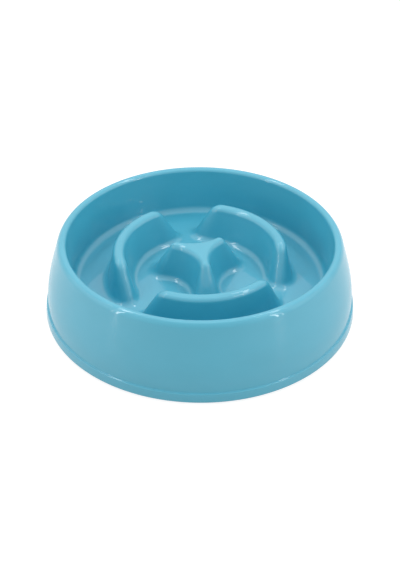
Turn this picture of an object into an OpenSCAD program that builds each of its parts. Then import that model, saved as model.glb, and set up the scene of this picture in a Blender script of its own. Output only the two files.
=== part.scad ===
// Slow feeder bowl for a dog or cat: one moulding on four push-in feet.
// Millimetres, +Z up. The origin is on the table, under the middle of the bowl.

/* [Bowl] */
// Diameter of the base, across the bottom edge of its band
base_d = 240; // [225:1:270]
// Height of the rim above the table
bowl_h = 60; // [56:0.5:75]
// Diameter of the circle along the top of the rim
rim_d = 207; // [198:0.2:216]
// Thickness of the moulded wall
wall = 2.5; // [1.8:0.1:3]

/* [Band and skirt] */
// Height of the band round the base
band_h = 7; // [5:0.5:12]
// How much the band narrows towards its top, on the radius
band_taper = 0.8; // [0.4:0.1:2]
// Width of the ledge between the band and the skirt
ledge_w = 1.3; // [0.9:0.1:3]
// Radius of the edges of the band
band_edge_r = 0.8; // [0.4:0.1:1.2]
// Lean of the skirt just under the rim, in degrees
skirt_lean = 17; // [8:1:26]

/* [Rim] */
// Radius of the rounded outer shoulder of the rim
shoulder_r = 4.4; // [3:0.1:6]
// Radius of the rounded inner edge of the rim
bead_r = 2.8; // [1.5:0.1:3.5]

/* [Basin] */
// Height of the basin floor above the table
floor_z = 21.5; // [16:0.5:26]
// Draft of the basin wall, in degrees
basin_draft = 5; // [2:0.5:8]
// Radius of the fillet between the basin wall and the floor
basin_fillet_r = 6; // [4:0.5:10]

/* [Ridges] */
// Radius of the circle that the three ridges follow
ridge_r = 62; // [60:0.5:66]
// Height of the ridges above the table
ridge_z = 50; // [42:0.5:52]
// Width of the flat along the top of a ridge
ridge_flat_w = 1; // [1:0.2:4]
// Angle that the flat top of a ridge spans, in degrees
ridge_span = 70; // [50:1:74]
// Slope of a ridge's ends, in degrees from upright
ridge_end_slope = 31; // [18:1:36]
// Radius of the corners of a ridge's flat top, seen from above
ridge_corner_r = 0.4; // [0.2:0.1:0.5]
// Radius of the rounding along a ridge's top edges
ridge_round_r = 4.2; // [3.2:0.1:4.6]

/* [Star] */
// Height of the star above the table
star_z = 49.5; // [42:0.5:52]
// Reach of the flat top of an arm from the middle
star_reach = 19.2; // [17:0.2:22]
// Width of the flat top of an arm at its tip
star_arm_w = 1.6; // [1.4:0.2:5]
// Distance of the hollow between two arms from the middle, on the flat top
star_waist_r = 6.2; // [4:0.2:8]
// Radius of the corners of its flat top, seen from above
star_corner_r = 0.7; // [0.2:0.1:0.7]
// Radius of the rounding along the star's top edges
star_round_r = 3.2; // [2.8:0.1:4.6]
// Slope of the star's tips, in degrees from upright
star_tip_slope = 31; // [18:1:34]

/* [Moulded forms] */
// Draft of the long sides of the ridges and the star, in degrees
side_draft = 12; // [6:1:14]
// Radius of the fillets at the floor
foot_fillet_r = 5; // [3:0.5:6]
// Turn of the whole pattern about the middle, in degrees
pattern_turn = 41.3; // [0:0.1:120]

/* [Feet] */
// Height of the base band above the table
stand_off = 0.9; // [0.5:0.1:2]
// Diameter of a foot's pad
pad_d = 12; // [8:0.5:14]
// Depth of the recess that holds a pad
recess_depth = 1.5; // [1:0.1:2.5]
// Diameter of a foot's stem
stem_d = 5; // [3:0.5:6]
// Length of a foot's stem above its pad
stem_l = 7; // [5:0.5:9]
// Clearance round a pad
pad_clearance = 0.2; // [0.1:0.05:0.4]
// Clearance round a stem
stem_clearance = 0.05; // [0.03:0.01:0.1]

/* [Hidden] */
$fn = 96;
BOWL_COLOUR = [0.33, 0.66, 0.77];
FOOT_COLOUR = [0.22, 0.24, 0.26];

// How far a cut runs past the face that it opens
overrun = 1;
// Steps along the rim's curves, a small edge, the rounding of a crest, a fillet, a ridge's long
// side and a corner seen from above
rim_steps = 8;
edge_steps = 4;
top_steps = 3;
fillet_steps = 4;
long_steps = 10;
corner_steps = 4;
// Ridges, and arms of the star
form_n = 3;
form_pitch = 360 / form_n;
// How far the middle of a ridge's rounded end moves out with its slope, as a share
ridge_nose_share = 0.5;
// Handles of the skirt's curve, as shares of its height
skirt_low_share = 0.34;
skirt_high_share = 0.42;
// Radius of a foot pad's lower edge, and the lead at the end of its stem
pad_edge_r = 0.6;
stem_lead = 0.8;
// Room past the end of a stem in its socket
socket_spare = 1;

base_r = base_d / 2;
rim_r = rim_d / 2;
band_top_z = stand_off + band_h;
band_top_r = base_r - band_taper;
skirt_r = band_top_r - ledge_w;

boss_r = pad_d / 2 + pad_clearance + wall;
foot_r = band_top_r - wall - (pad_d / 2 + pad_clearance);
socket_l = stem_l + socket_spare;
boss_h = recess_depth + socket_l + wall;

// Points on an arc from angle a to angle b about a centre, ends included
function arc(c, r, a, b, steps) =
    [for (i = [0:steps]) let (t = a + (b - a) * i / steps) c + r * [cos(t), sin(t)]];

// Points on a cubic curve between two ends and their two handles, ends left out
function curve(p, q, s, e, steps) =
    [for (i = [1:steps - 1]) let (t = i / steps, u = 1 - t)
        u * u * u * p + 3 * u * u * t * q + 3 * u * t * t * s + t * t * t * e];

// Half section of the bowl as if it were solid: from the middle of the floor up the basin wall,
// over the rim, down the skirt and round the band. It starts past the axis by start_x, and its
// band runs on below its real bottom by drop.
function skin(start_x, drop) =
    let (
        bead = [rim_r, bowl_h - bead_r],
        wall_top = bead + bead_r * [-cos(basin_draft), sin(basin_draft)],
        fillet_top_z = floor_z + basin_fillet_r * (1 - sin(basin_draft)),
        fillet_top_r = wall_top.x - (wall_top.y - fillet_top_z) * tan(basin_draft),
        fillet = [fillet_top_r - basin_fillet_r * cos(basin_draft), floor_z + basin_fillet_r],
        skirt_top = [rim_r, bowl_h - shoulder_r] + shoulder_r * [cos(skirt_lean), sin(skirt_lean)],
        skirt_foot = [skirt_r, band_top_z],
        skirt_h = skirt_top.y - skirt_foot.y,
        low_handle = skirt_foot + [0, skirt_h * skirt_low_share],
        high_handle = skirt_top + skirt_h * skirt_high_share * [tan(skirt_lean), -1],
        band_foot_r = base_r + drop * band_taper / band_h
    )
    concat(
        [[-start_x, floor_z]],
        arc(fillet, basin_fillet_r, -90, -basin_draft, fillet_steps),
        arc(bead, bead_r, 180 - basin_draft, 90, rim_steps),
        arc([rim_r, bowl_h - shoulder_r], shoulder_r, 90, skirt_lean, rim_steps),
        curve(skirt_top, high_handle, low_handle, skirt_foot, rim_steps),
        [skirt_foot],
        arc([band_top_r, band_top_z] - band_edge_r * [1, 1], band_edge_r, 90, 0, edge_steps),
        arc([band_foot_r - band_edge_r, stand_off - drop + band_edge_r], band_edge_r, 0, -90, edge_steps),
        [[-start_x, stand_off - drop]]
    );

// A moulded flank: the height of its top and of its floor, the radius along its top edge, the
// radius of its fillet, and its slope from upright
TOP = 0;
BASE = 1;
TOP_R = 2;
BASE_R = 3;
SLOPE = 4;
// The same flank with another slope, its straight part as high as before
function sloped(f, slope) =
    let (k = (1 - sin(f[SLOPE])) / (1 - sin(slope))) [f[TOP], f[BASE], f[TOP_R] * k, f[BASE_R] * k, slope];
// The same flank one wall further in
function inside(f) = [f[TOP] - wall, f[BASE] - wall, f[TOP_R] - wall, f[BASE_R] + wall, f[SLOPE]];
// How far a flank stands out from the edge of its flat top, at height z
function flank(f, z) =
    let (
        rounding_z = f[TOP] - f[TOP_R] * (1 - sin(f[SLOPE])),
        fillet_z = f[BASE] + f[BASE_R] * (1 - sin(f[SLOPE])),
        foot = (f[TOP_R] + f[BASE_R]) * cos(f[SLOPE]) + (rounding_z - fillet_z) * tan(f[SLOPE])
    )
    z > rounding_z ? sqrt(max(0, pow(f[TOP_R], 2) - pow(z - f[TOP] + f[TOP_R], 2)))
    : z > fillet_z ? f[TOP_R] * cos(f[SLOPE]) + (rounding_z - z) * tan(f[SLOPE])
    : foot - sqrt(max(0, pow(f[BASE_R], 2) - pow(f[BASE] + f[BASE_R] - z, 2)));
// Heights of the contours that carry a flank, from its top to its floor
function levels(f) = [
    for (i = [0:top_steps]) let (t = 90 + (f[SLOPE] - 90) * i / top_steps)
        f[TOP] - f[TOP_R] * (1 - sin(t)),
    for (i = [0:fillet_steps]) let (t = f[SLOPE] + (90 - f[SLOPE]) * i / fillet_steps)
        f[BASE] + f[BASE_R] * (1 - sin(t))
];

// Contour of a ridge whose sides stand out by s and whose ends stand out by e. It runs along the
// outer side and back along the inner side, so that its two halves face each other.
function ridge_contour(s, e) =
    let (
        nose = ridge_nose_share * (e - s),
        core_u = ridge_flat_w / 2 - ridge_corner_r,
        core_v = ridge_r * ridge_span / 2 * PI / 180 - ridge_corner_r + nose,
        cu = ridge_corner_r + s,
        cv = ridge_corner_r + e - nose,
        outer = [
            for (i = [0:corner_steps]) let (t = 90 * i / corner_steps)
                [core_u + cu * sin(t), -core_v - cv * cos(t)],
            for (i = [1:long_steps - 1]) [core_u + cu, core_v * (2 * i / long_steps - 1)],
            for (i = [0:corner_steps]) let (t = 90 * i / corner_steps)
                [core_u + cu * cos(t), core_v + cv * sin(t)]
        ],
        n = len(outer),
        flat = concat(outer, [for (i = [n - 1:-1:0]) [-outer[i].x, outer[i].y]])
    )
    [for (p = flat) let (a = p.y / ridge_r * 180 / PI) (ridge_r + p.x) * [cos(a), sin(a)]];

// Contour of the star whose hollow sides stand out by s and whose tips stand out by e
function star_contour(s, e) =
    let (
        half_w = star_arm_w / 2,
        m = star_reach * cos(form_pitch / 2) + half_w * sin(form_pitch / 2),
        hollow_r = (pow(star_waist_r, 2) - 2 * m * star_waist_r + pow(star_reach, 2) + pow(half_w, 2))
            / (2 * (m - star_waist_r)),
        centre = (star_waist_r + hollow_r) * [cos(form_pitch / 2), sin(form_pitch / 2)],
        side_r = hollow_r - s,
        corner_r = star_corner_r + s,
        tip_x = star_reach + e - corner_r,
        tip = [tip_x, centre.y - sqrt(pow(side_r + corner_r, 2) - pow(tip_x - centre.x, 2))],
        turn = atan2(centre.y - tip.y, centre.x - tip.x),
        half = concat(
            arc(tip, corner_r, 0, turn, corner_steps),
            arc(centre, side_r, turn + 180, form_pitch / 2 + 180, corner_steps)
        ),
        n = len(half),
        arm = concat([for (i = [n - 1:-1:0]) [half[i].x, -half[i].y]], [for (i = [0:n - 2]) half[i]])
    )
    [for (k = [0:form_n - 1]) for (p = arm) turned(p, k * form_pitch)];
function turned(p, a) = [p.x * cos(a) - p.y * sin(a), p.x * sin(a) + p.y * cos(a)];

// Solid through contours of equally many points, listed from the top down. Its two flat ends are
// closed from a middle point if there is one, and otherwise across, from half to half.
module loft(contours, middle) {
    n = len(contours[0]);
    m = len(contours);
    last = (m - 1) * n;
    mid = m * n;
    points = [for (c = contours) each c, if (middle) for (c = [contours[0], contours[m - 1]]) [0, 0, c[0].z]];
    sides = [for (k = [0:m - 2]) for (i = [0:n - 1]) let (a = k * n + i, b = k * n + (i + 1) % n)
        each [[a, b, b + n], [a, b + n, a + n]]];
    fans = [for (i = [0:n - 1]) let (j = (i + 1) % n)
        each [[j, i, mid], [last + i, last + j, mid + 1]]];
    strips = [for (i = [0:n / 2 - 2]) let (o = n - 1 - i)
        each [[i + 1, i, o], [i + 1, o, o - 1], [last + i, last + i + 1, last + o],
            [last + o, last + i + 1, last + o - 1]]];
    polyhedron(points, concat(sides, middle ? fans : strips), convexity = 4);
}
function raised(contour, z) = [for (p = contour) [p.x, p.y, z]];

// One ridge, with its foot carried down into the floor by sunk
module ridge(side, end, sunk) {
    lv = levels(side);
    low = len(lv) - 1;
    loft([
        for (z = lv) raised(ridge_contour(flank(side, z), flank(end, z)), z),
        raised(ridge_contour(flank(side, lv[low]), flank(end, lv[low])), lv[low] - sunk)
    ], middle = false);
}
// The star, with its foot carried down into the floor by sunk
module star(side, tip, sunk) {
    lv = levels(side);
    low = len(lv) - 1;
    loft([
        for (z = lv) raised(star_contour(flank(side, z), flank(tip, z)), z),
        raised(star_contour(flank(side, lv[low]), flank(tip, lv[low])), lv[low] - sunk)
    ], middle = true);
}
// The three ridges and the star; hollow gives the space under them, one wall further in
module forms(hollow) {
    r_side = [ridge_z, floor_z, ridge_round_r, foot_fillet_r, side_draft];
    r_end = sloped(r_side, ridge_end_slope);
    s_side = [star_z, floor_z, star_round_r, foot_fillet_r, side_draft];
    s_tip = sloped(s_side, star_tip_slope);
    sunk = hollow ? overrun : wall / 2;
    rotate(pattern_turn) {
        for (k = [0:form_n - 1]) rotate(k * form_pitch) {
            if (hollow) ridge(inside(r_side), inside(r_end), sunk);
            else ridge(r_side, r_end, sunk);
        }
        if (hollow) star(inside(s_side), inside(s_tip), sunk);
        else star(s_side, s_tip, sunk);
    }
}

// Half section of the space inside the skin, in from it by depth and open below
module inner_section(depth) {
    past = wall + overrun;
    intersection() {
        offset(delta = -depth) polygon(skin(past, 2 * past));
        translate([0, -past]) square([base_d, bowl_h + past]);
    }
}
// Band, skirt, rim and basin in one even wall
module shell() rotate_extrude() difference() {
    polygon(skin(0, 0));
    inner_section(wall);
}

// Places of the four feet, seen from above: front left, front right, rear left, rear right
foot_turns = [225, 315, 135, 45];
module at_foot(i) {
    rotate(foot_turns[i]) translate([foot_r, 0, 0]) children();
}
module boss() {
    translate([0, 0, stand_off]) cylinder(h = boss_h, r = boss_r);
}
// The four bosses, joined to the band and the skirt in the middle of their wall
module bosses() intersection() {
    for (i = [0:3]) at_foot(i) boss();
    rotate_extrude() inner_section(wall / 2);
}
module socket() {
    translate([0, 0, stand_off - overrun])
        cylinder(h = recess_depth + overrun, r = pad_d / 2 + pad_clearance);
    translate([0, 0, stand_off]) cylinder(h = recess_depth + socket_l, r = stem_d / 2 + stem_clearance);
}

module bowl() color(BOWL_COLOUR) difference() {
    union() {
        shell();
        forms(hollow = false);
        bosses();
    }
    forms(hollow = true);
    for (i = [0:3]) at_foot(i) socket();
}

module foot(i) {
    pad_r = pad_d / 2;
    seat_z = stand_off + recess_depth;
    stem_r = stem_d / 2;
    stem_top = seat_z + stem_l;
    color(FOOT_COLOUR) at_foot(i) rotate_extrude() polygon(concat(
        [[0, 0]],
        arc([pad_r - pad_edge_r, pad_edge_r], pad_edge_r, -90, 0, edge_steps),
        [[pad_r, seat_z], [stem_r, seat_z], [stem_r, stem_top - stem_lead]],
        [[stem_r - stem_lead, stem_top], [0, stem_top]]
    ));
}
module foot_front_left() foot(0);
module foot_front_right() foot(1);
module foot_rear_left() foot(2);
module foot_rear_right() foot(3);

bowl();
foot_front_left();
foot_front_right();
foot_rear_left();
foot_rear_right();
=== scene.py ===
import math

import bpy
from mathutils import Matrix, Vector
from mathutils.geometry import tessellate_polygon


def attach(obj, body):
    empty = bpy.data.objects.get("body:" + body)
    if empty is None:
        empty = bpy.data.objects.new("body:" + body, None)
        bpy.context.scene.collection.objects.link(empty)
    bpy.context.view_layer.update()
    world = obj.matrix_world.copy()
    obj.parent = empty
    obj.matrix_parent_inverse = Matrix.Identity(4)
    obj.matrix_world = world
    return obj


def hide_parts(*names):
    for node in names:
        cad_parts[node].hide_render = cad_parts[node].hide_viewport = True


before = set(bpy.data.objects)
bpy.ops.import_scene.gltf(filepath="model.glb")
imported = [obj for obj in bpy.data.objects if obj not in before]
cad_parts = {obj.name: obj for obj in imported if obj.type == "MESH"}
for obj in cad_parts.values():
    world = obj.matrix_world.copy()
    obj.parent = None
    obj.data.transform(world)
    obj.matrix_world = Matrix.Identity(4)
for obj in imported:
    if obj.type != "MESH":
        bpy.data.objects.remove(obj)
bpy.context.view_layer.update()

MM = 0.001

# Sizes in millimetres and degrees. They are those of the part's source, with finer roundings on the
# shoulder, at the ledge, under the band, at the ridges' ends and on the star. The flat tops of ridges and
# star are smaller to suit.

# The turned wall. The skirt leans by SKIRT_LEAN under the shoulder and ends upright, and its two shares say
# how far it keeps those directions. The shoulder has two radii, which change over at the angle
# SHOULDER_CHANGE above level.
BASE_R = 120
BOWL_H = 60
RIM_R = 103.5
WALL = 2.5
STAND_OFF = 0.9
BAND_H = 7
BAND_TAPER = 0.8
LEDGE_W = 1.3
BAND_EDGE_R = 0.8
BAND_FOOT_R = 0.4
LEDGE_FILLET_R = 0.5
SKIRT_LEAN = 17
SKIRT_LOW_SHARE = 0.34
SKIRT_HIGH_SHARE = 0.42
SHOULDER_START_R = 104.3
SHOULDER_TOP_R = 2.4
SHOULDER_LOW_R = 8
SHOULDER_CHANGE = 45
BEAD_R = 2.8
FLOOR_Z = 21.5
BASIN_DRAFT = 5
BASIN_FILLET_R = 6

# The arc ridges. RIDGE_SPAN is the angle of a ridge's flat top from end to end. An end slopes further out
# than the sides do, and RIDGE_NOSE_SHARE is the share of that over which the sides run straight on.
RIDGE_R = 62
RIDGE_Z = 50
RIDGE_FLAT_W = 1
RIDGE_SPAN = 64.6
RIDGE_END_SLOPE = 31
RIDGE_END_ROUND_R = 12
RIDGE_CORNER_R = 0.4
RIDGE_ROUND_R = 4.2
RIDGE_NOSE_SHARE = 0.5

# The star. STAR_REACH and STAR_WAIST_R are how far its flat top reaches from the axis, at the tips and
# between them.
STAR_Z = 49.5
STAR_REACH = 19.3
STAR_ARM_W = 0.9
STAR_WAIST_R = 5.85
STAR_CORNER_R = 0.4
STAR_ROUND_R = 2.8
STAR_SOFT_R = 7
STAR_TIP_SLOPE = 31

# What ridges and star share: their number, the slope of their sides, the angle above level at which the
# two radii of a crest change over, the fillet round their feet, and the turn of the whole pattern from +X.
THIRDS = 3
SIDE_DRAFT = 12
CREST_CHANGE = 45
FOOT_FILLET_R = 5
PATTERN_TURN = 41.3

# The feet, with their recesses and sockets, and the feet's bearings from +X
PAD_D = 12
RECESS_DEPTH = 1.5
STEM_D = 5
STEM_L = 7
PAD_CLEARANCE = 0.2
STEM_CLEARANCE = 0.05
PAD_EDGE_R = 0.6
STEM_LEAD = 0.8
SOCKET_SPARE = 1
FOOT_TURNS = {
    "foot_front_left": 225,
    "foot_front_right": 315,
    "foot_rear_left": 135,
    "foot_rear_right": 45}

# Sizes that follow from these
BAND_TOP_Z = STAND_OFF + BAND_H
BAND_TOP_R = BASE_R - BAND_TAPER
SKIRT_R = BAND_TOP_R - LEDGE_W
PAD_R = PAD_D / 2
STEM_R = STEM_D / 2
RECESS_R = PAD_R + PAD_CLEARANCE
SEAT_Z = STAND_OFF + RECESS_DEPTH
BOSS_R = RECESS_R + WALL
FOOT_R = BAND_TOP_R - WALL - RECESS_R
SOCKET_L = STEM_L + SOCKET_SPARE
BOSS_H = RECESS_DEPTH + SOCKET_L + WALL
HALF_PITCH = 180 / THIRDS

# Fineness of the meshes
THIRD_STEPS = 96
TURN_STEPS = THIRDS * THIRD_STEPS
RIM_STEPS = 12
SKIRT_STEPS = 18
EDGE_STEPS = 5
CREST_STEPS = 5
FILLET_STEPS = 8
RIDGE_STEPS = 40
CORNER_STEPS = 8
HOLLOW_STEPS = 14
FOOT_STEPS = 64
# Width of the loop that keeps a flat face flat beside a rounded one
BORDER_W = 0.3
# Radius of the circle that an outline is carried round
PATH_R = 100
# Contours of a form closer than this are one
LEVEL_GAP = 0.02
# How far a cutter runs past the face that it opens
OVERRUN = 1
# Edges sharper than this many degrees stay crisp
CRISP_ANGLE = 32
# Points closer than this many metres are one, where surfaces are joined and after the last cut
WELD = 0.000001
CUT_WELD = 0.0000001

# The axis in plan
AXIS = Vector((0, 0))


def sin(degrees):
    return math.sin(math.radians(degrees))


def cos(degrees):
    return math.cos(math.radians(degrees))


def tan(degrees):
    return math.tan(math.radians(degrees))


def evenly(start, end, steps):
    """Angles from start to end in even steps, ends included."""
    return [start + (end - start) * i / steps for i in range(steps + 1)]


def arc(centre, radius, start, end, steps):
    """Points on an arc, ends included."""
    return [centre + radius * Vector((cos(t), sin(t))) for t in evenly(start, end, steps)]


def skirt_curve(top, foot, depth):
    """The skirt's bulged line from below the shoulder down to the ledge, moved inwards by depth."""
    height = top.y - foot.y
    high = top + height * SKIRT_HIGH_SHARE * Vector((tan(SKIRT_LEAN), -1))
    low = foot + Vector((0, height * SKIRT_LOW_SHARE))
    points = []
    for i in range(1, SKIRT_STEPS + 1):
        t = i / SKIRT_STEPS
        u = 1 - t
        place = u ** 3 * top + 3 * u * u * t * high + 3 * u * t * t * low + t ** 3 * foot
        along = u * u * (high - top) + 2 * u * t * (low - high) + t * t * (foot - low)
        inwards = Vector((along.y, -along.x)).normalized()
        points.append(place + depth * inwards)
    return points


def section(depth):
    """Half section of the skin moved inwards by depth, from the edge of the basin floor over the rim to the
    foot of the band. The roundings of ledge and band are on the outer skin only, and points that fall
    together there are welded later."""
    bead = Vector((RIM_R, BOWL_H - BEAD_R))
    shoulder = Vector((SHOULDER_START_R, BOWL_H - SHOULDER_TOP_R))
    change = Vector((cos(SHOULDER_CHANGE), sin(SHOULDER_CHANGE)))
    low_shoulder = shoulder - (SHOULDER_LOW_R - SHOULDER_TOP_R) * change
    wall_top = bead + BEAD_R * Vector((-cos(BASIN_DRAFT), sin(BASIN_DRAFT)))
    fillet_top_z = FLOOR_Z + BASIN_FILLET_R * (1 - sin(BASIN_DRAFT))
    fillet_top_r = wall_top.x - (wall_top.y - fillet_top_z) * tan(BASIN_DRAFT)
    fillet = Vector((fillet_top_r - BASIN_FILLET_R * cos(BASIN_DRAFT), FLOOR_Z + BASIN_FILLET_R))
    skirt_top = low_shoulder + SHOULDER_LOW_R * Vector((cos(SKIRT_LEAN), sin(SKIRT_LEAN)))
    skirt_foot = Vector((SKIRT_R, BAND_TOP_Z + LEDGE_FILLET_R))
    points = [Vector((fillet.x - BORDER_W, FLOOR_Z - depth))]
    points += arc(fillet, BASIN_FILLET_R + depth, -90, -BASIN_DRAFT, FILLET_STEPS)
    points += arc(bead, BEAD_R - depth, 180 - BASIN_DRAFT, 90, RIM_STEPS)
    points += arc(shoulder, SHOULDER_TOP_R - depth, 90, SHOULDER_CHANGE, RIM_STEPS)
    points += arc(low_shoulder, SHOULDER_LOW_R - depth, SHOULDER_CHANGE, SKIRT_LEAN, RIM_STEPS)[1:]
    points += skirt_curve(skirt_top, skirt_foot, depth)
    if depth:
        ledge_z = BAND_TOP_Z - depth
        points.append(Vector((SKIRT_R - depth, ledge_z)))
        points.append(Vector((BAND_TOP_R - depth, ledge_z)))
        points.append(Vector((BASE_R - depth, STAND_OFF)))
    else:
        crease = Vector((SKIRT_R + LEDGE_FILLET_R, BAND_TOP_Z + LEDGE_FILLET_R))
        upper = Vector((BAND_TOP_R - BAND_EDGE_R, BAND_TOP_Z - BAND_EDGE_R))
        lower = Vector((BASE_R - BAND_FOOT_R, STAND_OFF + BAND_FOOT_R))
        points += arc(crease, LEDGE_FILLET_R, 180, 270, EDGE_STEPS)[1:]
        points += arc(upper, BAND_EDGE_R, 90, 0, EDGE_STEPS)
        points += arc(lower, BAND_FOOT_R, 0, -90, EDGE_STEPS)
    return points


class Flank:
    """The side of a moulded form: the heights of its top and of its floor, the radius along its top edge and
    the larger one that follows it, the radius of its fillet and its slope from upright."""

    def __init__(self, top, base, top_r, soft_r, base_r, slope):
        self.top = top
        self.base = base
        self.top_r = top_r
        self.soft_r = soft_r
        self.base_r = base_r
        self.slope = slope

    def sloped(self, slope):
        """The same flank with another slope, its straight part as high as before."""
        growth = (1 - sin(self.slope)) / (1 - sin(slope))
        radii = [radius * growth for radius in (self.top_r, self.soft_r, self.base_r)]
        return Flank(self.top, self.base, *radii, slope)

    def inside(self):
        """The same flank, one wall further in."""
        return Flank(self.top - WALL, self.base - WALL, self.top_r - WALL, self.soft_r - WALL,
                     self.base_r + WALL, self.slope)

    def out(self, z):
        """How far it stands out from the edge of its flat top at height z."""
        crest = Vector((0, self.top - self.top_r))
        change = Vector((cos(CREST_CHANGE), sin(CREST_CHANGE)))
        soft = crest - (self.soft_r - self.top_r) * change
        rounding_z = soft.y + self.soft_r * sin(self.slope)
        fillet_z = self.base + self.base_r * (1 - sin(self.slope))
        if z > crest.y + self.top_r * change.y:
            return math.sqrt(max(0, self.top_r ** 2 - (z - crest.y) ** 2))
        if z > rounding_z:
            return soft.x + math.sqrt(self.soft_r ** 2 - (z - soft.y) ** 2)
        start = soft.x + self.soft_r * cos(self.slope)
        if z > fillet_z:
            return start + (rounding_z - z) * tan(self.slope)
        foot = start + self.base_r * cos(self.slope) + (rounding_z - fillet_z) * tan(self.slope)
        return foot - math.sqrt(max(0, self.base_r ** 2 - (self.base + self.base_r - z) ** 2))

    def levels(self):
        """Heights of the contours that carry it, from its top to its floor."""
        crest = evenly(90, CREST_CHANGE, CREST_STEPS)
        soft = evenly(CREST_CHANGE, self.slope, CREST_STEPS)[1:]
        fillet = evenly(self.slope, 90, FILLET_STEPS)
        soft_z = self.top - self.top_r + (self.top_r - self.soft_r) * sin(CREST_CHANGE)
        return ([self.top - self.top_r * (1 - sin(t)) for t in crest]
                + [soft_z + self.soft_r * sin(t) for t in soft]
                + [self.base + self.base_r * (1 - sin(t)) for t in fillet])


def ridge_contour(side, end):
    """A ridge's outline whose sides stand out by side and whose ends stand out by end. It runs along the
    outer side and back along the inner one, so that its two halves face each other."""
    core_u = RIDGE_FLAT_W / 2 - RIDGE_CORNER_R
    nose = RIDGE_NOSE_SHARE * (end - side)
    core_v = math.radians(RIDGE_R * RIDGE_SPAN / 2) - RIDGE_CORNER_R + nose
    across = RIDGE_CORNER_R + side
    along = RIDGE_CORNER_R + end - nose
    corner = evenly(0, 90, CORNER_STEPS)
    outer = [(core_u + across * sin(t), -core_v - along * cos(t)) for t in corner]
    outer += [(core_u + across, core_v * (2 * i / RIDGE_STEPS - 1)) for i in range(1, RIDGE_STEPS)]
    outer += [(core_u + across * cos(t), core_v + along * sin(t)) for t in corner]
    flat = outer + [(-u, v) for u, v in reversed(outer)]
    return [(RIDGE_R + u) * Vector((math.cos(v / RIDGE_R), math.sin(v / RIDGE_R))) for u, v in flat]


def star_contour(side, tip):
    """One arm of the star's outline, from the middle of one hollow round the tip to the middle of the next.
    Its sides stand out by side and its tip by tip. A hollow's circle touches the waist and runs on through
    the corner of the arm's flat top."""
    half_w = STAR_ARM_W / 2
    reach = STAR_REACH * cos(HALF_PITCH) + half_w * sin(HALF_PITCH)
    spread = STAR_WAIST_R ** 2 - 2 * reach * STAR_WAIST_R + STAR_REACH ** 2 + half_w ** 2
    hollow_r = spread / (2 * (reach - STAR_WAIST_R))
    centre = (STAR_WAIST_R + hollow_r) * Vector((cos(HALF_PITCH), sin(HALF_PITCH)))
    side_r = hollow_r - side
    corner_r = STAR_CORNER_R + side
    tip_x = STAR_REACH + tip - corner_r
    tip_centre = Vector((tip_x, centre.y - math.sqrt((side_r + corner_r) ** 2 - (tip_x - centre.x) ** 2)))
    turn = math.degrees(math.atan2(centre.y - tip_centre.y, centre.x - tip_centre.x))
    half = arc(tip_centre, corner_r, 0, turn, CORNER_STEPS)
    half += arc(centre, side_r, turn + 180, HALF_PITCH + 180, HOLLOW_STEPS)[1:]
    return [Vector((p.x, -p.y)) for p in reversed(half[1:])] + half


class Skin:
    """Points and faces of a surface, gathered ring by ring. An under skin has its faces turned over."""

    def __init__(self):
        self.points = []
        self.faces = []
        self.under = False

    def ring(self, outline, z):
        """Adds an outline at height z and returns the numbers of its points."""
        first = len(self.points)
        self.points += [(p.x * MM, p.y * MM, z * MM) for p in outline]
        return list(range(first, len(self.points)))

    def face(self, corners):
        self.faces.append(corners[::-1] if self.under else corners)

    def flank(self, upper, lower, closed):
        """Faces between two rings of equally many points, the upper one listed first."""
        count = len(upper)
        for i in range(count if closed else count - 1):
            j = (i + 1) % count
            self.face([upper[i], lower[i], lower[j], upper[j]])

    def fill(self, loops):
        """Triangles over the flat ground inside the first loop and outside the others."""
        numbers = [n for loop in loops for n in loop]
        corners = [[Vector(self.points[n]) for n in loop] for loop in loops]
        for a, b, c in tessellate_polygon(corners):
            trio = [numbers[a], numbers[b], numbers[c]]
            p, q, r = (Vector(self.points[n]) for n in trio)
            if (q - p).cross(r - p).z < 0:
                trio.reverse()
            self.face(trio)

    def form(self, contour, side, end, closed):
        """The flanks of a moulded form, from its flat top to its floor. Gives its first and last ring."""
        low = side.base
        levels = [side.top]
        for z in sorted(side.levels() + end.levels(), reverse=True):
            if levels[-1] - z > LEVEL_GAP:
                levels.append(z)
        rings = [self.ring(contour(-BORDER_W, -BORDER_W), side.top)]
        rings += [self.ring(contour(side.out(z), end.out(z)), z) for z in levels]
        rings.append(self.ring(contour(side.out(low) + BORDER_W, end.out(low) + BORDER_W), low))
        for upper, lower in zip(rings, rings[1:]):
            self.flank(upper, lower, closed)
        return rings[0], rings[-1]


def third_of_basin():
    """One third of the basin floor with its ridge and its arm of the star, on both skins."""
    skin = Skin()
    edge_r = section(0)[0].x
    for under in (False, True):
        skin.under = under
        ridge = Flank(RIDGE_Z, FLOOR_Z, RIDGE_ROUND_R, RIDGE_ROUND_R, FOOT_FILLET_R, SIDE_DRAFT)
        star = Flank(STAR_Z, FLOOR_Z, STAR_ROUND_R, STAR_SOFT_R, FOOT_FILLET_R, SIDE_DRAFT)
        ridge_end = ridge.sloped(RIDGE_END_SLOPE)
        ridge_end.top_r = RIDGE_END_ROUND_R
        ridge_end.soft_r = RIDGE_END_ROUND_R
        star_tip = star.sloped(STAR_TIP_SLOPE)
        if under:
            ridge, star, ridge_end, star_tip = (f.inside() for f in (ridge, star, ridge_end, star_tip))
        crest, ridge_foot = skin.form(ridge_contour, ridge, ridge_end, closed=True)
        for i in range(len(crest) // 2 - 1):
            skin.face([crest[i], crest[i + 1], crest[-2 - i], crest[-1 - i]])
        top, star_foot = skin.form(star_contour, star, star_tip, closed=False)
        middle = skin.ring([AXIS], star.top)[0]
        for i in range(len(top) - 1):
            skin.face([middle, top[i], top[i + 1]])
        edge = skin.ring(arc(AXIS, edge_r, -HALF_PITCH, HALF_PITCH, THIRD_STEPS), ridge.base)
        skin.fill([edge + star_foot[::-1], ridge_foot])
    return skin


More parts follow.
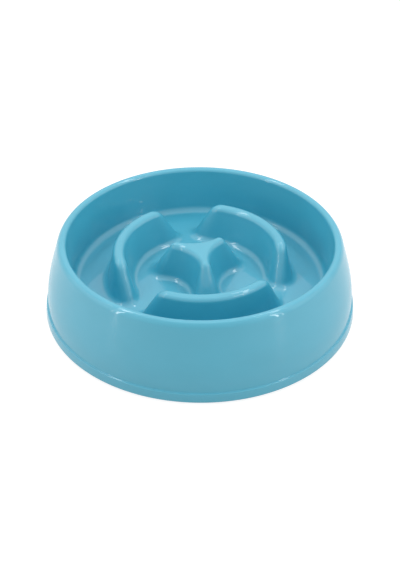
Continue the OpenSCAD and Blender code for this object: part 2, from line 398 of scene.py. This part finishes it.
def draft_object(name, points, edges=(), faces=()):
    """An object that a Geometry Nodes tree reads or grows from."""
    mesh = bpy.data.meshes.new(name)
    mesh.from_pydata(points, edges, faces)
    return bpy.data.objects.new(name, mesh)


def outline_object(name, outline):
    """An outline of radii and heights in millimetres, laid out as the path circle reads it: across from the
    circle, then down."""
    points = [((p[0] - PATH_R) * MM, -p[1] * MM, 0) for p in outline]
    return draft_object(name, points, edges=[(i, i + 1) for i in range(len(points) - 1)])


class Tree:
    """A node tree that is built by calls. add() makes any node, with its settings first and then the values
    or links of its sockets, and gives back the node's outputs."""

    def __init__(self, tree):
        self.tree = tree

    def add(self, kind, settings=None, **sockets):
        node = self.tree.nodes.new(kind)
        for name, value in (settings or {}).items():
            setattr(node, name, value)
        for name, value in sockets.items():
            self.feed(self.socket(node.inputs, name), value)
        return node.outputs

    def socket(self, sockets, name):
        """A socket by its name in lower case with low lines, or by i and its number."""
        if name[0] == "i" and name[1:].isdigit():
            return sockets[int(name[1:])]
        return next(s for s in sockets if s.enabled and s.name.lower().replace(" ", "_") == name)

    def feed(self, socket, value):
        """Gives a socket a plain value, a link or a list of links."""
        for source in value if isinstance(value, list) else [value]:
            if isinstance(source, bpy.types.NodeSocket):
                self.tree.links.new(source, socket)
            else:
                socket.default_value = source


class GeometryTree(Tree):
    """A Geometry Nodes tree with inputs named under their kinds. It ends in one mesh of one material."""

    def __init__(self, name, inputs):
        super().__init__(bpy.data.node_groups.new(name, "GeometryNodeTree"))
        interface = self.tree.interface
        interface.new_socket("Geometry", in_out="OUTPUT", socket_type="NodeSocketGeometry")
        self.identifiers = {}
        for kind, labels in inputs.items():
            for label in labels:
                socket = interface.new_socket(label, in_out="INPUT", socket_type=kind)
                self.identifiers[label] = socket.identifier
        self.inputs = self.add("NodeGroupInput")

    def welded(self, shape, distance):
        return self.add("GeometryNodeMergeByDistance", geometry=shape, distance=distance)["Geometry"]

    def turned(self, outline, steps):
        """The surface that an outline sweeps when it is carried once round the axis."""
        shape = self.add("GeometryNodeObjectInfo", object=outline)["Geometry"]
        profile = self.add("GeometryNodeMeshToCurve", mesh=shape)["Curve"]
        circle = self.add("GeometryNodeCurvePrimitiveCircle", resolution=steps, radius=PATH_R * MM)["Curve"]
        swept = self.add("GeometryNodeCurveToMesh", curve=circle, profile_curve=profile)["Mesh"]
        return self.welded(swept, WELD)

    def moved_out(self, shape, radius):
        """A shape moved along +X."""
        place = self.add("ShaderNodeCombineXYZ", x=radius)["Vector"]
        return self.add("GeometryNodeTransform", geometry=shape, translation=place)["Geometry"]

    def spun(self, shape, turn):
        """A shape turned about the axis."""
        rotation = self.add("ShaderNodeCombineXYZ", z=turn)["Vector"]
        return self.add("GeometryNodeTransform", geometry=shape, rotation=rotation)["Geometry"]

    def repeated(self, shape, count, turn, pitch):
        """Copies of a shape about the axis: the first is turned by turn, and each next one by pitch more."""
        line = self.add("GeometryNodeMeshLine", count=count, offset=(0, 0, 0))["Mesh"]
        number = self.add("GeometryNodeInputIndex")["Index"]
        angle = self.add("ShaderNodeMath", {"operation": "MULTIPLY_ADD"}, i0=number, i1=pitch, i2=turn)
        rotation = self.add("ShaderNodeCombineXYZ", z=angle["Value"])["Vector"]
        copies = self.add("GeometryNodeInstanceOnPoints", points=line, instance=shape, rotation=rotation)
        return self.add("GeometryNodeRealizeInstances", geometry=copies["Instances"])["Geometry"]

    def combined(self, operation, **shapes):
        """The union, the intersection or the difference of closed shapes."""
        settings = {"operation": operation, "solver": "MANIFOLD"}
        return self.add("GeometryNodeMeshBoolean", settings, **shapes)["Mesh"]

    def finish(self, shape, material):
        """Smooth faces with crisp corners, in one material."""
        smooth = self.add("GeometryNodeSetShadeSmooth", geometry=shape)["Geometry"]
        angle = self.add("GeometryNodeInputMeshEdgeAngle")["Unsigned Angle"]
        limit = math.radians(CRISP_ANGLE)
        crisp = self.add("ShaderNodeMath", {"operation": "GREATER_THAN"}, i0=angle, i1=limit)["Value"]
        edged = self.add("GeometryNodeSetShadeSmooth", {"domain": "EDGE"}, geometry=smooth,
                         selection=crisp, shade_smooth=False)["Geometry"]
        dressed = self.add("GeometryNodeSetMaterial", geometry=edged, material=material)["Geometry"]
        self.add("NodeGroupOutput", geometry=dressed)


def moulding_tree():
    """The moulding: its turned wall, the thirds of its basin, and its foot bosses with their sockets. The
    inner skin trims the bosses, so that they end inside the wall."""
    tree = GeometryTree("moulding", {
        "NodeSocketObject": ("Section", "Third", "Inner Skin", "Boss", "Socket"),
        "NodeSocketInt": ("Thirds", "Feet", "Turn Steps", "Foot Steps"),
        "NodeSocketFloat": ("Third Pitch", "Pattern Turn", "Foot Pitch", "Foot Turn", "Foot Radius"),
        "NodeSocketMaterial": ("Material",)})
    given = tree.inputs
    third = tree.add("GeometryNodeObjectInfo", object=given["Third"])["Geometry"]
    basin = tree.repeated(third, given["Thirds"], 0.0, given["Third Pitch"])
    wall = tree.turned(given["Section"], given["Turn Steps"])
    whole = tree.add("GeometryNodeJoinGeometry", geometry=[wall, basin])["Geometry"]
    shell = tree.spun(tree.welded(whole, WELD), given["Pattern Turn"])
    at_feet = []
    for outline in ("Boss", "Socket"):
        shape = tree.turned(given[outline], given["Foot Steps"])
        placed = tree.moved_out(shape, given["Foot Radius"])
        at_feet.append(tree.repeated(placed, given["Feet"], given["Foot Turn"], given["Foot Pitch"]))
    inner = tree.turned(given["Inner Skin"], given["Turn Steps"])
    bosses = tree.combined("INTERSECT", i1=[at_feet[0], inner])
    joined = tree.combined("UNION", i1=[shell, bosses])
    bored = tree.combined("DIFFERENCE", i0=joined, i1=at_feet[1])
    tree.finish(tree.welded(bored, CUT_WELD), given["Material"])
    return tree


def foot_tree():
    """A foot: its pad and stem, turned about its own axis and set in its place."""
    tree = GeometryTree("foot", {
        "NodeSocketObject": ("Outline",),
        "NodeSocketInt": ("Foot Steps",),
        "NodeSocketFloat": ("Foot Turn", "Foot Radius"),
        "NodeSocketMaterial": ("Material",)})
    given = tree.inputs
    shape = tree.turned(given["Outline"], given["Foot Steps"])
    placed = tree.moved_out(shape, given["Foot Radius"])
    tree.finish(tree.spun(placed, given["Foot Turn"]), given["Material"])
    return tree


def grown(name, tree, values):
    """A plain mesh object from a Geometry Nodes tree and the values of its inputs."""
    seed = draft_object(name, [])
    bpy.context.scene.collection.objects.link(seed)
    modifier = seed.modifiers.new(name, "NODES")
    modifier.node_group = tree.tree
    for key, value in values.items():
        modifier[tree.identifiers[key]] = value
    evaluated = seed.evaluated_get(bpy.context.evaluated_depsgraph_get())
    mesh = bpy.data.meshes.new_from_object(evaluated)
    seed.modifiers.remove(modifier)
    seed.data = mesh
    mesh.name = name
    return seed


def make_moulding(plastic):
    """The bowl's one moulding. Its bosses are trimmed half a wall inside the outer skin."""
    third = third_of_basin()
    below = STAND_OFF - OVERRUN
    mid_wall = [tuple(p) for p in section(WALL / 2) if p.x > RIM_R]
    inner_skin = [(0, mid_wall[0][1])] + mid_wall + [(mid_wall[-1][0], below), (0, below)]
    boss_top = STAND_OFF + BOSS_H
    boss = [(0, boss_top), (BOSS_R, boss_top), (BOSS_R, STAND_OFF), (0, STAND_OFF)]
    bore_r = STEM_R + STEM_CLEARANCE
    bore_top = SEAT_Z + SOCKET_L
    bore = [(0, bore_top), (bore_r, bore_top), (bore_r, SEAT_Z)]
    recess = [(RECESS_R, SEAT_Z), (RECESS_R, below), (0, below)]
    drafts = {
        "Section": outline_object("section", section(0) + section(WALL)[::-1]),
        "Third": draft_object("third", third.points, faces=third.faces),
        "Inner Skin": outline_object("inner skin", inner_skin),
        "Boss": outline_object("boss", boss),
        "Socket": outline_object("socket", bore + recess)}
    foot_pitch = math.tau / len(FOOT_TURNS)
    moulding = grown("bowl_moulding", moulding_tree(), {
        **drafts,
        "Thirds": THIRDS,
        "Third Pitch": math.tau / THIRDS,
        "Pattern Turn": math.radians(PATTERN_TURN),
        "Feet": len(FOOT_TURNS),
        "Foot Pitch": foot_pitch,
        "Foot Turn": foot_pitch / 2,
        "Foot Radius": FOOT_R * MM,
        "Turn Steps": TURN_STEPS,
        "Foot Steps": FOOT_STEPS,
        "Material": plastic})
    for draft in drafts.values():
        bpy.data.objects.remove(draft)
    return moulding


def make_feet(rubber):
    """The four feet by the names of their nodes."""
    stem_top = SEAT_Z + STEM_L
    stem = [(0, stem_top), (STEM_R - STEM_LEAD, stem_top), (STEM_R, stem_top - STEM_LEAD), (STEM_R, SEAT_Z)]
    edge = arc(Vector((PAD_R - PAD_EDGE_R, PAD_EDGE_R)), PAD_EDGE_R, 0, -90, EDGE_STEPS)
    pad = [(PAD_R, SEAT_Z)] + [tuple(p) for p in edge] + [(0, 0)]
    outline = outline_object("foot", stem + pad)
    tree = foot_tree()
    feet = {}
    for node, turn in FOOT_TURNS.items():
        feet[node] = grown(node + "_rubber", tree, {
            "Outline": outline,
            "Foot Turn": math.radians(turn),
            "Foot Radius": FOOT_R * MM,
            "Foot Steps": FOOT_STEPS,
            "Material": rubber})
    bpy.data.objects.remove(outline)
    return feet


class Value:
    """A number in a material's tree, which adds and multiplies as a plain number does."""

    def __init__(self, tree, socket):
        self.tree = tree
        self.socket = socket

    def sum(self, operation, first, second):
        first, second = (v.socket if isinstance(v, Value) else v for v in (first, second))
        answer = self.tree.add("ShaderNodeMath", {"operation": operation}, i0=first, i1=second)["Value"]
        return Value(self.tree, answer)

    def __add__(self, other):
        return self.sum("ADD", self, other)

    def __radd__(self, other):
        return self.sum("ADD", other, self)

    def __mul__(self, other):
        return self.sum("MULTIPLY", self, other)

    def __rmul__(self, other):
        return self.sum("MULTIPLY", other, self)


class Finish(Tree):
    """A material's tree, whose patterns read the piece's own Object coordinates."""

    def __init__(self, name, **constants):
        self.material = bpy.data.materials.new(name)
        self.material.use_nodes = True
        super().__init__(self.material.node_tree)
        self.shader = self.tree.nodes["Principled BSDF"]
        self.paint(**constants)
        self.place = self.add("ShaderNodeTexCoord")["Object"]

    def noise(self, size, detail=2.0, stretch=(1, 1, 1)):
        """Soft noise from 0 to 1 whose features are about size metres wide."""
        place = self.add("ShaderNodeMapping", vector=self.place, scale=stretch)["Vector"]
        cloud = self.add("ShaderNodeTexNoise", vector=place, scale=1 / size, detail=detail)
        return Value(self, cloud["Fac"])

    def band(self, value, low, high):
        """0 below low, 1 above high and a smooth step between them."""
        step = self.add("ShaderNodeMapRange", {"interpolation_type": "SMOOTHSTEP"}, value=value.socket,
                        from_min=low, from_max=high)
        return Value(self, step["Result"])

    def mixed(self, share, first, second):
        """A colour between two, as a plain socket."""
        return self.add("ShaderNodeMix", {"data_type": "RGBA"}, i0=share.socket, i6=first, i7=second)[2]

    def relief(self, height, depth):
        """A bump of that depth in metres, over any bump made before it."""
        inputs = {"height": height.socket, "distance": depth, "strength": 1.0}
        if self.shader.inputs["Normal"].is_linked:
            inputs["normal"] = self.shader.inputs["Normal"].links[0].from_socket
        self.feed(self.shader.inputs["Normal"], self.add("ShaderNodeBump", **inputs)["Normal"])

    def paint(self, **sockets):
        """Gives the shader's sockets their values."""
        for name, value in sockets.items():
            value = value.socket if isinstance(value, Value) else value
            self.feed(self.socket(self.shader.inputs, name), value)


def glossy_plastic():
    """Even blue, polished in the mould, with the faint waviness and flow tint of a large moulding."""
    blue = (0.007, 0.345, 0.492, 1)
    paler_blue = (0.010, 0.360, 0.512, 1)
    finish = Finish("glossy_blue_plastic", ior=2.0, coat_weight=0.7, coat_ior=1.5, coat_roughness=0.02)
    flow = finish.noise(size=0.045, detail=3, stretch=(1, 1, 2))
    finish.paint(base_color=finish.mixed(finish.band(flow, low=0.35, high=0.65), blue, paler_blue))
    haze = finish.noise(size=0.012, detail=4)
    scratches = finish.noise(size=0.0011, detail=2, stretch=(1, 6, 1))
    scuff = finish.band(scratches, low=0.62, high=0.74)
    finish.paint(roughness=0.58 + 0.05 * haze + 0.05 * scuff)
    finish.relief(finish.noise(size=0.022, detail=1), depth=0.00012)
    finish.relief(finish.noise(size=0.0009, detail=1), depth=0.000002)
    return finish.material


def soft_rubber():
    """Dark rubber with a fine matt grain."""
    dark = (0.030, 0.034, 0.038, 1)
    dusty = (0.042, 0.046, 0.050, 1)
    finish = Finish("dark_soft_rubber")
    grain = finish.noise(size=0.0004, detail=3)
    patch = finish.band(finish.noise(size=0.003), low=0.3, high=0.7)
    finish.paint(base_color=finish.mixed(patch, dark, dusty))
    finish.paint(roughness=0.62 + 0.2 * grain)
    finish.relief(grain, depth=0.00004)
    return finish.material


def plainly_seen(tree):
    """1 for a ray that shows a surface, straight or in the bowl's gloss, and 0 for one that lights it."""
    light_path = tree.add("ShaderNodeLightPath")
    shown = light_path["Is Camera Ray"]
    for kind in ("Is Glossy Ray", "Is Transmission Ray"):
        either = tree.add("ShaderNodeMath", {"operation": "MAXIMUM"}, i0=shown, i1=light_path[kind])
        shown = either["Value"]
    return shown


def grey(level):
    return (level, level, level, 1)


def make_stage():
    """A plain white floor that runs out of sight. It shows as white with a faint shadow, and lights the bowl
    as a matt grey sheet."""
    reach = 4
    corners = [(-reach, -reach, 0), (reach, -reach, 0), (reach, reach, 0), (-reach, reach, 0)]
    mesh = bpy.data.meshes.new("floor")
    mesh.from_pydata(corners, [], [(0, 1, 2, 3)])
    floor = bpy.data.objects.new("floor", mesh)
    bpy.context.scene.collection.objects.link(floor)
    finish = Finish("white_floor", roughness=0.4, specular_ior_level=0.35, emission_strength=1.0)
    finish.material.cycles.emission_sampling = "NONE"
    shown = Value(finish, plainly_seen(finish))
    finish.paint(base_color=finish.mixed(shown, grey(0.5), grey(0.27)))
    finish.paint(emission_color=finish.mixed(shown, grey(0), grey(0.8)))
    mesh.materials.append(finish.material)


def make_world(strength):
    """White all round: shown at full strength, and lighting the bowl at the given one."""
    world = bpy.data.worlds.new("studio")
    world.use_nodes = True
    world.cycles.sampling_method = "NONE"
    bpy.context.scene.world = world
    tree = Tree(world.node_tree)
    shown = tree.add("ShaderNodeBackground", color=grey(1), strength=1.0)["Background"]
    fill = tree.add("ShaderNodeBackground", color=grey(1), strength=strength)["Background"]
    mix = tree.add("ShaderNodeMixShader", i0=plainly_seen(tree), i1=fill, i2=shown)["Shader"]
    tree.feed(world.node_tree.nodes["World Output"].inputs["Surface"], mix)


def make_lamp(name, turn, rise, distance, width, height, power):
    """A softbox aimed at the bowl: turn is its bearing from +X and rise its angle above level, in degrees.
    Its distance and size are in metres and its power in watts."""
    light = bpy.data.lights.new(name, "AREA")
    light.shape = "RECTANGLE"
    light.size = width
    light.size_y = height
    light.energy = power
    lamp = bpy.data.objects.new(name, light)
    place = distance * Vector((cos(turn) * cos(rise), sin(turn) * cos(rise), sin(rise)))
    aim = (-place).to_track_quat("-Z", "Y").to_matrix().to_4x4()
    lamp.matrix_world = Matrix.Translation(place) @ aim
    bpy.context.scene.collection.objects.link(lamp)


def make_camera(rise, distance, target, lens, roll):
    """A camera that looks down on the target from the front. Rise and roll are in radians, and the lens is
    that of a film 36 millimetres wide."""
    back = Vector((0, -math.cos(rise), math.sin(rise)))
    up = Vector((0, math.sin(rise), math.cos(rise)))
    facing = Matrix((Vector((1, 0, 0)), up, back)).transposed().to_4x4()
    data = bpy.data.cameras.new("photo_view")
    data.lens = lens
    data.sensor_width = 36
    camera = bpy.data.objects.new("photo_view", data)
    place = Matrix.Translation(target + distance * back)
    camera.matrix_world = place @ facing @ Matrix.Rotation(roll, 4, "Z")
    bpy.context.scene.collection.objects.link(camera)
    bpy.context.scene.camera = camera


bpy.context.scene.view_settings.view_transform = "Standard"
make_camera(rise=0.631888, distance=0.784486, target=Vector((0, 0, 0.014311)), lens=63.47, roll=0.00569)
make_world(strength=0.55)
# Name, turn, rise, distance, width, height and power of each lamp
for lamp in (
        ("left_tube", 150, 64, 1.5, 1.2, 0.1, 3.6),
        ("right_tube", 32, 64, 1.5, 1.2, 0.1, 3.2),
        ("left_front_tube", 190, 52, 1.5, 0.6, 0.1, 1.6),
        ("right_front_tube", 340, 52, 1.5, 0.6, 0.1, 2.2),
        ("rear_softbox", 90, 42, 1.8, 2.6, 1.3, 3.0),
        ("overhead_softbox", 90, 85, 1.8, 1.0, 1.0, 2.2),
        ("left_softbox", 180, 22, 1.8, 1.4, 0.9, 3.0),
        ("right_softbox", 0, 22, 1.8, 1.4, 0.9, 3.2),
        ("left_strip", 211, 18, 1.5, 0.05, 0.94, 2.2),
        ("second_left_strip", 207, 18, 1.5, 0.03, 0.94, 0.4),
        ("right_strip", 325, 18, 1.5, 0.05, 0.94, 2.2),
        ("second_right_strip", 329, 18, 1.5, 0.03, 0.94, 0.6)):
    make_lamp(*lamp)
make_stage()

moulding = make_moulding(glossy_plastic())
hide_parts("bowl")
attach(moulding, "root")
for node, foot in make_feet(soft_rubber()).items():
    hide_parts(node)
    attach(foot, "root")
